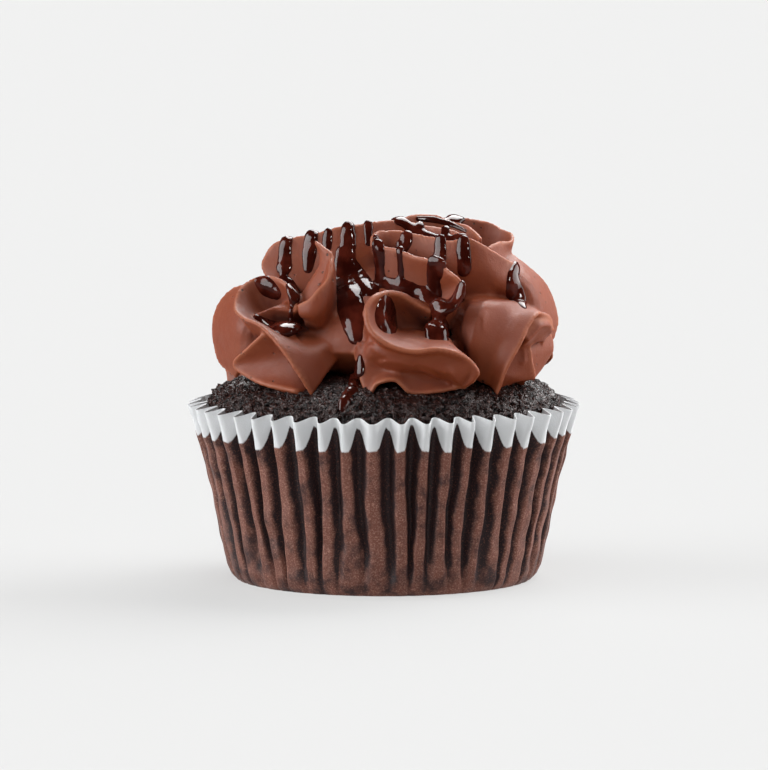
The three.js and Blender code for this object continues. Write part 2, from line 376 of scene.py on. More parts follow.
def cakeMaterial():
    look = cakeLook
    material = newMaterial("darkChocolateCrumb")
    wires = Wiring(material)
    grain = wires.noise(*look["grainNoise"])
    pores = wires.range(wires.noise(*look["poreNoise"]), *look["poreBand"])     # 0 in a pore, 1 around it
    # lighter specks of crumb, partly painted glints
    colour = wires.blend(wires.range(grain, *look["grainBand"]), look["crumb"], look["speckAndGlint"])
    # painted shade in the pores
    wires.feed(wires.shader.inputs["Base Color"], wires.blend(pores, look["poreShade"], colour))
    coarse = wires.bump(pores, *look["poreRelief"])
    wires.feed(wires.shader.inputs["Normal"], wires.bump(grain, *look["grainRelief"], coarse))
    setInputs(material, look["plain"])
    return material


paperLook = {
    "white": (0.68, 0.69, 0.70, 1),
    "ridge": (0.160, 0.060, 0.043, 1),
    "speck": (0.400, 0.205, 0.150, 1),
    # stain where the paper lies on the cake, darkened further as painted shade in the valleys
    "valley": (0.026, 0.015, 0.016, 1),
    "fibreNoise": (3400, 3, 0.7),
    "fibreRelief": (0.25, 0.0002),
    "speckBand": (0.44, 0.78),
    "valleySpeckBand": (0.5, 0.8),
    "dampNoise": (260, 4, 0.6),
    "dampShare": 1.6,           # how far damp patches shift the edge between ridge and valley
    "foldBand": (0.52, 1.1),
    "frayShare": 0.4,           # how far the fibre frays the edge of the stain
    "freeBand": (-0.15, 0.2),
    "plain": {"Roughness": 0.5, "Specular IOR Level": 0.12},
}


def paperMaterial():
    look = paperLook
    material = newMaterial("stainedBakingPaper")
    wires = Wiring(material)

    def shifted(name, pattern, share):          # an attribute, moved up and down by a noise
        return wires.math("ADD", wires.attribute(name),
                          wires.math("MULTIPLY", wires.math("SUBTRACT", pattern, 0.5), share))

    fibre = wires.noise(*look["fibreNoise"])
    fold = shifted("fold", wires.noise(*look["dampNoise"]), look["dampShare"])
    free = shifted("free", fibre, look["frayShare"])
    ridge = wires.blend(wires.range(fibre, *look["speckBand"]), look["ridge"], look["speck"])
    # valleys: cake stain and painted shade
    valley = wires.blend(wires.range(fibre, *look["valleySpeckBand"]), look["valley"], look["ridge"])
    stained = wires.blend(wires.range(fold, *look["foldBand"]), valley, ridge)
    colour = wires.blend(wires.range(free, *look["freeBand"]), stained, look["white"])
    wires.feed(wires.shader.inputs["Base Color"], colour)
    wires.feed(wires.shader.inputs["Normal"], wires.bump(fibre, *look["fibreRelief"]))
    setInputs(material, look["plain"])
    return material


# the paper case

paperCase = {
    "pleats": 48,
    "columns": 14,              # for each pleat
    "rows": 58,
    "rowCrowding": 1.15,        # above 1, the rows stand closer together towards the foot
    "thickness": 0.12,
    "wander": 0.17,             # how far a pleat starts from its place, as a share of a pitch
    "depths": (0.75, 1.15),     # share of the depth below that a pleat has
    "widthSpread": 0.09,        # what a ridge gains or loses of its share of the pitch
    "spreadFade": (32, 20),     # heights at which that is nothing, and all
    # height, radius over the ridges, depth of the pleats, share of each pitch that is ridge
    "wall": [
        (0.0, 26.6, 0.2, 0.75), (1.0, 27.6, 0.35, 0.75), (2.6, 28.3, 0.6, 0.72), (8.0, 29.5, 1.4, 0.66),
        (15.0, 30.9, 2.0, 0.60), (23.6, 32.8, 2.4, 0.55), (27.0, 33.9, 2.7, 0.52), (32.0, 35.2, 3.0, 0.50)],
    "flanks": (0.30, 0.42),     # half width of a pleat's flank, low down and at the rim
    "flankRise": (24, 32),
    # noises round the case: scale round it, scale up it, shift, and amount
    "strays": [(6, 0.06, 0, 0.35), (10, 0.2, 7, 0.08)],         # of a pitch, to the side
    "strayFade": (26, 4),
    "dents": (9, 0.25, 3, 0.28),                                # in mm, in and out
    "dentRise": (0, 6),
    "ridgeDip": 0.8,            # at the rim a ridge stands lower than a valley
    "dipPower": 6,
    "footFade": (9, 2),         # heights between which the dark valleys fade out, downwards
    "footNoise": (2.3, 7),      # its step from pleat to pleat, and its amount
    "footFold": 0.85,
    "stains": (30.3, 26.2),     # height up to which the cake has stained a valley, and a ridge
    "stainBand": (0.05, 0.72),
    "stainNoise": (3.1, 0.8, 1.1),      # its step from pleat to pleat and across one, and its amount
    "footInset": 0.5,           # the foot is a ring, and a disc of this share of its radius
    "sharpAngle": 50,
    "merge": 0.01,
}


def pleatWave(part, ridgeShare, flank):     # 1 on the ridge, 0 in the valley, as part runs round one pleat
    distance = abs(part - 0.5) * 2
    return 1 - smoothStep(ridgeShare - flank, ridgeShare + flank, distance)


def roundNoise(angle, z, around, upward, shift, amount):
    place = Vector((math.cos(angle) * around, math.sin(angle) * around, z * upward + shift))
    return noise.noise(place) * amount


# a function that gives, for a column and a height from 0 to 1, the wall's point, how much of a ridge it is,
# and how far it stands above the stain
def pleatWall(count):
    look = paperCase
    pleats = look["pleats"]
    pitch = fullTurn / pleats
    starts = [(i + random.uniform(-1, 1) * look["wander"]) * pitch for i in range(pleats)]
    starts.append(starts[0] + fullTurn)
    for _ in range(pleats):
        random.random()         # passed over, so that the draws below keep their places
    depths = [random.uniform(*look["depths"]) for _ in range(pleats)]
    shares = [random.uniform(-look["widthSpread"], look["widthSpread"]) for _ in range(pleats)]
    wallHeight = look["wall"][-1][0]

    def at(column, up):
        z = wallHeight * up ** look["rowCrowding"]
        i, part = divmod(column % count, look["columns"])
        part /= look["columns"]
        radius, depth, ridge = numbersAt(look["wall"], z)
        angle = mix(starts[i], starts[i + 1], part)
        stray = sum(roundNoise(angle, z, *row) for row in look["strays"])
        angle += stray * pitch * smoothStep(*look["strayFade"], z)
        flank = mix(*look["flanks"], smoothStep(*look["flankRise"], z))
        wave = pleatWave(part, ridge + shares[i] * smoothStep(*look["spreadFade"], z), flank)
        share = mix(depths[i], depths[(i + 1) % pleats], part)
        r = radius - depth * share * (1 - wave)
        r += roundNoise(angle, z, *look["dents"]) * smoothStep(*look["dentRise"], z)
        z -= look["ridgeDip"] * wave * up ** look["dipPower"]
        step, amount = look["footNoise"]
        foot = smoothStep(*look["footFade"], z + noise.noise(Vector((i * step, 0.5, 4))) * amount)
        away = 1 - abs(part - 0.5) * 2                  # 0 in the middle of the valley, 1 on the ridge
        stain = mix(*look["stains"], smoothStep(*look["stainBand"], away))
        step, across, amount = look["stainNoise"]
        stain += noise.noise(Vector((i * step, part * across, 0.5))) * amount
        point = Vector((r * math.cos(angle), r * math.sin(angle), z)) * mm
        return point, mix(wave, look["footFold"], foot), z - stain

    return at


def makePaperCase():
    look = paperCase
    count = look["pleats"] * look["columns"]
    wall = pleatWall(count)
    bpy.ops.object.select_all(action="DESELECT")
    bpy.ops.mesh.primitive_grid_add(x_subdivisions=count, y_subdivisions=look["rows"], size=2)
    piece = bpy.context.active_object
    piece.name = "paperCase"
    mesh = piece.data
    marks = {"fold": [], "free": []}
    for vertex in mesh.vertices:
        vertex.co, fold, free = wall(round((vertex.co.x + 1) / 2 * count), (vertex.co.y + 1) / 2)
        marks["fold"].append(fold)
        marks["free"].append(free)
    for name, values in marks.items():
        mesh.attributes.new(name, "FLOAT", "POINT").data.foreach_set("value", values)
    activate(piece)
    bpy.ops.object.mode_set(mode="EDIT")
    bpy.ops.mesh.select_all(action="SELECT")
    bpy.ops.mesh.remove_doubles(threshold=look["merge"] * mm)       # the two ends of the wall meet
    bpy.ops.mesh.select_all(action="DESELECT")
    bpy.ops.object.mode_set(mode="OBJECT")
    for edge in mesh.edges:                             # the wall's foot
        edge.select = all(mesh.vertices[v].co.z < look["merge"] * mm for v in edge.vertices)
    bpy.ops.object.mode_set(mode="EDIT")
    bpy.ops.mesh.extrude_region_move()
    bpy.ops.transform.resize(value=(look["footInset"], look["footInset"], 1), center_override=(0, 0, 0))
    bpy.ops.mesh.extrude_region_move()
    bpy.ops.mesh.merge(type="CENTER")
    bpy.ops.mesh.select_all(action="SELECT")
    bpy.ops.mesh.normals_make_consistent(inside=False)
    bpy.ops.object.mode_set(mode="OBJECT")
    finishWith(piece, "SOLIDIFY", thickness=look["thickness"] * mm, offset=-1)
    activate(piece)
    bpy.ops.object.shade_smooth_by_angle(angle=math.radians(look["sharpAngle"]))
    mesh.materials.append(paperMaterial())
    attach(piece, "root")
    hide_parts("paper_case")
    print("paper case:", len(mesh.polygons), "faces")


# the cake

cake = {
    "profile": [                # radius, height, from the foot up
        (24.0, 0.4), (25.5, 1.2), (26.3, 3.0), (27.2, 8.0), (28.4, 15.0), (30.0, 23.6), (30.9, 27.0),
        (31.5, 30.4), (31.3, 31.6), (30.4, 33.0), (28.9, 34.3), (26.0, 35.7), (23.0, 36.7), (18.0, 37.5),
        (9.0, 38.3)],
    "segments": 96,
    "fineAbove": 29.0,          # faces above this and further out than that are cut finer
    "fineBeyond": 18.0,
    "cuts": 5,
    "roughAbove": 29.5,
    "rough": 0.42,              # height of the crumb relief
    "swells": [(0.3, 0.8), (0.9, 0.9), (2.9, 0.9)],     # scale of each noise, and its share of the relief
    "creases": (1.7, 1.6),      # the same for the noise that is folded up at zero
    "poreScale": 1.1,
    "poreBand": (0.18, 0.5),
    "poreDepth": 0.7,
    "lean": 18,                 # the relief rises outwards and up, and the smaller this is the flatter
}


def makeCake():
    piece = turnedBody("cakeCrumb", cake["profile"], cake["segments"])
    mesh = piece.data
    activate(piece)
    for face in mesh.polygons:
        high, wide = face.center.z / mm, face.center.to_2d().length / mm
        face.select = high > cake["fineAbove"] and wide > cake["fineBeyond"]
    bpy.ops.object.mode_set(mode="EDIT")
    bpy.ops.mesh.select_mode(type="FACE")
    bpy.ops.mesh.subdivide(number_cuts=cake["cuts"], quadcorner="INNERVERT")
    bpy.ops.object.mode_set(mode="OBJECT")
    creaseScale, creaseShare = cake["creases"]
    apart = Vector((9, 4, 2))                           # keeps the pores off the swells' own pattern
    for vertex in mesh.vertices:
        at = vertex.co / mm
        if at.z > cake["roughAbove"]:
            lift = sum(noise.noise(at * scale) * share for scale, share in cake["swells"])
            lift += abs(noise.noise(at * creaseScale)) * creaseShare
            poreShade = smoothStep(*cake["poreBand"], noise.noise(at * cake["poreScale"] + apart))
            outward = Vector((at.x, at.y, cake["lean"])).normalized()
            vertex.co += outward * (lift * cake["rough"] - poreShade * cake["poreDepth"]) * mm
    activate(piece)
    bpy.ops.object.shade_smooth()
    mesh.materials.append(cakeMaterial())
    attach(piece, "root")
    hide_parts("cake")
    print("cake:", len(mesh.polygons), "faces")
    return piece


# the frosting: folds piped over a plain heart

frosting = {
    "heart": [(13.0, 35.0), (14.0, 37.0), (17.0, 39.5), (20.0, 42.0), (19.5, 44.5), (17.5, 48.0),
              (14.5, 51.5), (10.0, 54.5), (6.0, 57.0), (2.0, 58.0)],
    "heartSegments": 64,
    "stepsAlong": 6,            # of a fold's grid, for each step of its rim
    "stepsAcross": 14,          # from rim to root
    "rimThickness": 0.7,
    "flare": 1.5,               # above 1, a fold stays thin for longer
    "endThickness": 0.35,       # share of its thickness that a fold has at its two ends
    "endTaper": 0.12,           # share of its length over which it gets there
    "probes": (0.01, 0.02),     # shares of a fold along and across it, between which its slope is taken
    "voxel": 0.34,
    "smoothing": 4,
    "kept": 0.5,                # share of the triangles left after thinning
    "rimSteps": 60,             # points laid along each rim, to find what is near it
    "rimGlowBand": (0.25, 0.9),     # distances at which the painted glow of a rim is all, and nothing
    "feelers": 10,              # rays from each point, and how far they feel for the frosting round it
    "feel": 9.0,
    "feelStart": 0.1,
    "feelTurn": 2.4,            # angle from one ray to the next, in radians
    "feelSmoothing": 3,
}

# each fold has lists of points from its free rim to its root inside the frosting, and its thickness at the
# root. Behind is the side of the sheet that thickens, edge the thickness of its rim, and ends are its
# shares of the thickness at the first and the last point
folds = {
    "leftCup": {
        "rim": [(-12.5, -24, 35), (-15, -24.5, 39), (-18.5, -23, 44), (-22, -20, 47.5), (-25, -16.5, 48.5),
                (-26.5, -13, 50), (-25.5, -10, 53), (-23, -8.5, 54.5), (-20.5, -9, 55), (-18, -11.5, 54),
                (-16.5, -13.5, 52), (-15.5, -14.5, 49.5)],
        "face": [(-10, -21, 38.5), (-12.5, -20.5, 43), (-17.5, -16, 45.5), (-21.5, -12, 47.5),
                 (-21.5, -8.5, 50), (-17, -11, 50), (-16, -13, 47.5)],
        "root": [(-7, -15.5, 41.5), (-8, -13.5, 45), (-15, -12, 46), (-18.5, -9, 46.5), (-17.5, -12, 45.5)],
        "thickness": 8, "behind": 1, "ends": (0.35, 1)},
    "leftFacet": {
        "rim": [(-21.5, -19.5, 45.5), (-24.5, -17, 42.5), (-27, -14.5, 39.5), (-24, -17, 37.5),
                (-20.5, -20, 36.5), (-15.5, -22.5, 36)],
        "root": [(-17.5, -19.5, 44), (-16, -19.5, 42), (-14.5, -20.5, 39), (-13, -22, 36)],
        "thickness": 7, "behind": -1},
    "leftLobe": {
        "rim": [(-24, -4, 53.5), (-27.5, -2, 52), (-30, -1, 49), (-31, -0.5, 45), (-30.5, -1, 41),
                (-29.5, -3, 38.5), (-26.5, -8.5, 36.5)],
        "face": [(-24, -7.5, 52), (-25.5, -12.5, 47), (-26, -12, 42.5), (-25, -12.5, 38.5)],
        "root": [(-21.5, -8, 50.5), (-20.5, -14, 45.5), (-20.5, -16, 38.5)],
        "thickness": 9, "behind": -1},
    "frontCup": {
        "rim": [(14, -24, 36), (16, -24.5, 37.5), (17, -25, 39.5), (15.5, -25.5, 41.5), (13, -27, 43),
                (9, -28.5, 44), (5.5, -28.5, 43.5), (2.5, -28.5, 44), (-0.5, -28, 45.5),
                (-2.5, -27, 47.5), (-3, -25.5, 50.5), (-1.5, -24, 52.5), (0.5, -22, 53), (3, -21, 52.5),
                (5.5, -20.5, 51), (8.5, -20, 49.5)],
        "face": [(12, -21, 38), (13.5, -22.5, 42), (11.5, -24, 44.5), (6, -25, 45), (1.5, -24, 46),
                 (0, -21.5, 49), (2.5, -19, 50), (8.5, -19, 47.5)],
        "root": [(10, -17, 38.5), (12, -19, 44.5), (7.5, -20, 46), (3.5, -20, 46.5), (3, -18.5, 47),
                 (8, -17.5, 46)],
        "thickness": 8, "behind": 1, "edge": 1.0, "ends": (0.35, 1)},
    "frontCurtain": {
        "rim": [(-5.5, -19.5, 42), (-5, -21.5, 40), (-4.5, -23, 38), (-3, -25, 35), (-2, -25, 37),
                (0, -25.5, 38), (2, -25.5, 38), (3.5, -25.5, 36.5), (5, -25.5, 35.5), (10, -25, 36),
                (15, -23.5, 37)],
        "face": [(-5, -20.5, 42.5), (-3.5, -22.5, 40.5), (0, -22.5, 40), (3.5, -23.5, 39.5),
                 (8, -23.5, 38.5), (13, -23, 37.5)],
        "crease": [(-5.5, -20, 43), (-3.5, -22.5, 42), (0, -25, 42), (4, -26.5, 41.5), (8.5, -27, 40),
                   (13.5, -25.5, 37)],
        "root": [(-5.5, -20, 43.5), (-3, -23, 43), (0.5, -25.5, 43), (4.5, -27, 42.5), (9, -27.5, 42.5),
                 (15.5, -25.5, 40.5)],
        "thickness": 7, "behind": -1},
    "rightFan": {
        "rim": [(19.5, -21.5, 35), (21.5, -22, 40), (24, -21, 44), (25.5, -19, 47), (27, -17, 49),
                (28, -14.5, 49), (29.5, -12, 48), (30, -10, 46.5), (30.5, -8.5, 45)],
        "hollow": [(18.5, -18, 36), (19.5, -19.6, 43), (22.5, -15.8, 48.5), (26, -11, 49.5), (28, -8, 48)],
        "roll": [(16, -17, 37), (15, -20.6, 44), (16.5, -18.2, 50.5), (22.5, -12, 51), (26, -7, 49)],
        "root": [(13, -13, 38.5), (12, -17, 45), (14.5, -13.5, 51), (20.5, -8, 51.5), (24.5, -3, 50)],
        "thickness": 7, "behind": -1, "ends": (0.35, 1)},
    "rightPad": {
        "rim": [(24.5, -18, 45), (27, -15.5, 47.5), (29, -12.5, 47.5), (30, -9.5, 46)],
        "root": [(23, -14, 44), (25.5, -12, 45), (27, -9, 45), (27.5, -6, 44.5)],
        "thickness": 5, "behind": 0, "edge": 3},
    "rightRidge": {
        "rim": [(24.5, -13.5, 44.5), (26, -13.5, 43), (26.5, -13, 40.5), (27, -12, 38), (27, -11, 36.5)],
        "root": [(22, -16, 43.5), (22, -16, 41.5), (21, -17, 38.5), (20.5, -18, 36)],
        "thickness": 7, "behind": 1, "edge": 1.2},
    "rightLowLobe": {
        "rim": [(28.5, -7, 46.5), (30, -4, 44), (30.5, -3.5, 41.5), (29.5, -4.5, 39.5), (28, -6.5, 37.5),
                (26.5, -9, 36)],
        "root": [(26, -13, 44.5), (26.5, -12.5, 41), (27, -11.5, 37.5)],
        "thickness": 9, "behind": 1},
    "rightLobe": {
        "rim": [(22.5, 2, 58.5), (24, 0, 57.5), (26.5, 0, 55.5), (29, 1, 53), (30.5, 1.5, 50),
                (31.3, 1.5, 47), (31.3, 1, 45), (30.5, -1, 42.5)],
        "face": [(21.5, -5, 57), (24, -8.5, 55.5), (26.5, -9, 52.5), (27.5, -9, 49), (28, -8, 45)],
        "root": [(19.5, -7, 57), (20.5, -10, 53.5), (22, -11, 50), (24, -10, 46)],
        "thickness": 9, "behind": 1},
    "upperLeftFold": {
        "rim": [(-12, -10, 61.5), (-10.5, -11.5, 60.5), (-9, -13, 59.5), (-9, -14, 58.5), (-9, -15.5, 57),
                (-10, -17, 55), (-12, -18, 53), (-13.5, -18, 51.5), (-15.5, -17, 50.5)],
        "belly": [(-10, -9, 57), (-8.5, -12, 56), (-8.5, -15, 53), (-10, -18, 50), (-12.5, -18.5, 48.5),
                  (-15, -17.5, 48.5)],
        "root": [(-9.5, -8, 52), (-8.5, -11, 50.5), (-8.5, -13, 48), (-10.5, -15.5, 46), (-13.5, -15, 46)],
        "thickness": 6, "behind": -1, "flare": 1.2, "ends": (0.15, 1)},
    "backWall": {
        "rim": [(-20.5, -6, 53), (-22, -4.5, 56), (-21.5, -3.5, 58), (-19.5, -3.5, 60.5), (-16, -4, 61.5),
                (-11.5, -5, 62.5), (-8, -5.5, 63.5), (-4, -5, 64), (0, -4, 64.5), (3.5, -3, 64.5),
                (8, -3, 63.5), (12, -4, 63), (15, -7, 61.5)],
        "face": [(-19.5, -7, 53.5), (-17.5, -5.5, 57), (-13, -6, 58), (-8, -7, 59), (-2, -6.5, 60),
                 (4.5, -5, 61), (12.5, -6, 60)],
        "root": [(-17.5, -8, 52.5), (-13, -8, 53), (-7, -8, 55), (0, -7, 56.5), (10, -6, 57)],
        "thickness": 6, "behind": 1},
    "topFrontScroll": {
        "rim": [(-2, -11, 60), (-2, -12, 61), (0, -13, 60.5), (2.5, -14.5, 60), (5, -16, 59),
                (7.5, -17.5, 58.5), (10, -18.5, 57.5), (12, -20, 56), (13.5, -20.5, 54.5),
                (13.5, -21, 52.5), (12.5, -21.5, 51), (10.5, -21, 50), (8.5, -20, 49.5)],
        "face": [(-2, -11.5, 57.5), (1, -13.5, 56.5), (5, -15, 55.5), (8, -16, 54), (10.5, -17, 53),
                 (11, -18, 51.5), (8.5, -18.5, 50)],
        "root": [(-1, -11.5, 53.5), (2, -14, 52), (6, -15, 51), (8.5, -15.5, 51), (8, -16.5, 50)],
        "thickness": 6, "behind": 1},
    "topRightFin": {
        "rim": [(-2, -11, 60), (-2, -10.5, 62), (-1, -9, 63), (0.5, -8, 63), (3, -8, 63), (5.5, -9, 62.5),
                (8.5, -10.5, 62), (11.5, -12, 61.5), (14.5, -12.5, 62), (16.5, -12.5, 61.5),
                (19, -11.5, 60), (22, -10, 58), (24, -7.5, 57)],
        "face": [(-1, -9.5, 59.5), (1.5, -9, 59.5), (7.5, -11, 58), (12.5, -13, 57), (18.5, -13.5, 55.5),
                 (23, -11, 52.5)],
        "root": [(0, -8, 54), (5.5, -9.5, 53.5), (11.5, -11.5, 52), (18, -12.5, 51), (23.5, -9, 49.5)],
        "thickness": 7, "behind": 1},
    "crest": {
        "rim": [(2.5, -1, 64.5), (4.5, 0, 65), (6, 1, 65.3), (9.5, 2, 65), (12, 1.5, 64), (14.5, 0, 63.5),
                (16, -2.5, 62.5), (17, -6, 61.5)],
        "root": [(3.5, -2, 58.5), (8, -1, 57.5), (13.5, -3, 57), (16, -6, 57.5)],
        "thickness": 5, "behind": 1},
    "backLobe": {
        "rim": [(8.5, 4, 61.5), (11, 6, 63.5), (14, 8, 64), (17.5, 9, 63.5), (19.5, 8.5, 63), (21.5, 7, 62),
                (23, 4.5, 61.5), (23, 1.5, 60.5), (21.5, -1, 60.5), (20, -4, 60.5), (18.5, -7, 60)],
        "root": [(9, 3, 55.5), (12.5, 6, 54), (16, 7, 53), (19.5, 4, 53), (20.5, -1, 53.5), (18.5, -7, 54)],
        "thickness": 4, "behind": 0},
}

# the folds that the back repeats, turned about the upright axis by so many degrees and raised by so much
turnedFolds = [
    (155, 0, ("leftCup", "leftFacet", "upperLeftFold", "frontCup", "frontCurtain", "topFrontScroll",
              "rightFan", "rightPad", "rightRidge", "rightLowLobe")),
    (155, -3.5, ("topRightFin",)),
    (150, -4.5, ("rightLobe",)),
    (-65, -3, ("leftCup", "leftFacet", "upperLeftFold")),
    (200, -1.5, ("backWall",)),
]


def railsOf(name, degrees, lift):               # from the free rim to the root
    turn = Matrix.Rotation(math.radians(degrees), 3, "Z")
    return [[turn @ Vector(point) + Vector((0, 0, lift)) for point in rail]
            for rail in folds[name].values() if isinstance(rail, list)]


def makeFold(name, degrees, lift):
    fold = folds[name]
    rails = railsOf(name, degrees, lift)
    edge = fold.get("edge", frosting["rimThickness"])
    flare = fold.get("flare", frosting["flare"])
    first, last = fold.get("ends", (frosting["endThickness"], frosting["endThickness"]))
    taper = frosting["endTaper"]
    aside, inside = frosting["probes"]
    bpy.ops.mesh.primitive_grid_add(x_subdivisions=(len(rails[0]) - 1) * frosting["stepsAlong"],
                                    y_subdivisions=frosting["stepsAcross"], size=2)
    piece = bpy.context.active_object
    weights = piece.vertex_groups.new(name="thickness")
    for vertex in piece.data.vertices:
        u, v = (vertex.co.x + 1) / 2, (vertex.co.y + 1) / 2
        across = [pointAlong(rail, u) for rail in rails]
        along = pointAlong([pointAlong(rail, min(u + aside, 1)) - pointAlong(rail, max(u - aside, 0))
                            for rail in rails], v)
        inward = pointAlong(across, min(v + inside, 1)) - pointAlong(across, max(v - inside, 0))
        normal = along.cross(inward).normalized()
        thinned = mix(first, 1, smoothStep(0, taper, u)) * mix(last, 1, smoothStep(0, taper, 1 - u))
        weight = v ** flare * thinned
        half = mix(edge, fold["thickness"], weight) / 2
        vertex.co = (pointAlong(across, v) + normal * fold["behind"] * half) * mm
        weights.add([vertex.index], weight, "REPLACE")
    finishWith(piece, "SOLIDIFY", thickness=fold["thickness"] * mm, offset=0, vertex_group="thickness",
               thickness_vertex_group=edge / fold["thickness"])
    return piece


def markRims(piece, placed):    # how near each point is to a fold's thin rim, for the painted glow there
    steps = frosting["rimSteps"]
    rims = [pointAlong(railsOf(*place)[0], t / steps) * mm for place in placed for t in range(steps + 1)]
    tree = kdtree.KDTree(len(rims))
    for i, point in enumerate(rims):
        tree.insert(point, i)
    tree.balance()
    near, far = (distance * mm for distance in frosting["rimGlowBand"])
    nearness = [1 - smoothStep(near, far, tree.find(vertex.co)[2]) for vertex in piece.data.vertices]
    piece.data.attributes.new("rim", "FLOAT", "POINT").data.foreach_set("value", nearness)


def feelers():                  # directions spread evenly over the half of space that a surface faces
    count = frosting["feelers"]
    ways = []
    for k in range(count):
        turn, lean = frosting["feelTurn"] * k, math.sqrt((k + 0.5) / count)
        ways.append(Vector((math.cos(turn) * lean, math.sin(turn) * lean, math.sqrt(1 - lean * lean))))
    return ways


def markHollows(piece):         # how much of the view from each point the frosting itself shuts off, for the painted shade in the hollows and the duller gloss there
    mesh = piece.data
    tree = BVHTree.FromObject(piece, bpy.context.evaluated_depsgraph_get())
    ways = feelers()
    shut = []
    for vertex in mesh.vertices:
        normal = vertex.normal
        start = vertex.co + normal * frosting["feelStart"] * mm
        turn = normal.to_track_quat("Z", "Y")
        met = sum(tree.ray_cast(start, turn @ way, frosting["feel"] * mm)[0] is not None for way in ways)
        shut.append(met / len(ways))
    for _ in range(frosting["feelSmoothing"]):
        total, count = [0.0] * len(shut), [0] * len(shut)
        for edge in mesh.edges:
            a, b = edge.vertices
            total[a] += shut[b]
            total[b] += shut[a]
            count[a] += 1
            count[b] += 1
        shut = [(own + sums) / (number + 1) for own, sums, number in zip(shut, total, count)]
    mesh.attributes.new("hollow", "FLOAT", "POINT").data.foreach_set("value", shut)


def meltTogether(piece, look):  # one skin over all the parts, and its voxels smoothed away
    finishWith(piece, "REMESH", mode="VOXEL", voxel_size=look["voxel"] * mm, use_smooth_shade=True)
    finishWith(piece, "SMOOTH", factor=0.5, iterations=look["smoothing"])


def giveMaterial(piece, material):
    piece.data.materials.clear()
    piece.data.materials.append(material)
    activate(piece)
    bpy.ops.object.shade_smooth()


def makeFrosting():
    placed = [(name, 0, 0) for name in folds]
    placed += [(name, degrees, lift) for degrees, lift, names in turnedFolds for name in names]
    parts = [turnedBody("heart", frosting["heart"], frosting["heartSegments"])]
    parts += [makeFold(*place) for place in placed]
    piece = joinPieces(parts, "pipedFrosting")
    meltTogether(piece, frosting)
    finishWith(piece, "DECIMATE", ratio=frosting["kept"])
    markRims(piece, placed)
    markHollows(piece)
    giveMaterial(piece, frostingMaterial())
    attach(piece, "root")
    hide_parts("frosting")
    print("frosting:", len(parts), "parts,", len(piece.data.polygons), "faces")
    return piece


# the sauce: runs of drops laid on what carries them

sauce = {
    "step": 0.3,                # from drop to drop, on the plane that the runs are given on
    "widthSpread": (0.93, 1.07),
    "flat": 0.48,               # how far a drop stands up, as a share of half its width
    "sunk": 0.15,               # how far it is sunk, as the same share
    "neighbours": 4,            # drops before and after one that even out its lean
    "reach": 2.5,               # but only those within this distance
    "company": 4,               # a drop with fewer of them than this, itself counted, is left out
    "pourHeight": 200,
    "voxel": 0.26,
    "smoothing": 7,
}

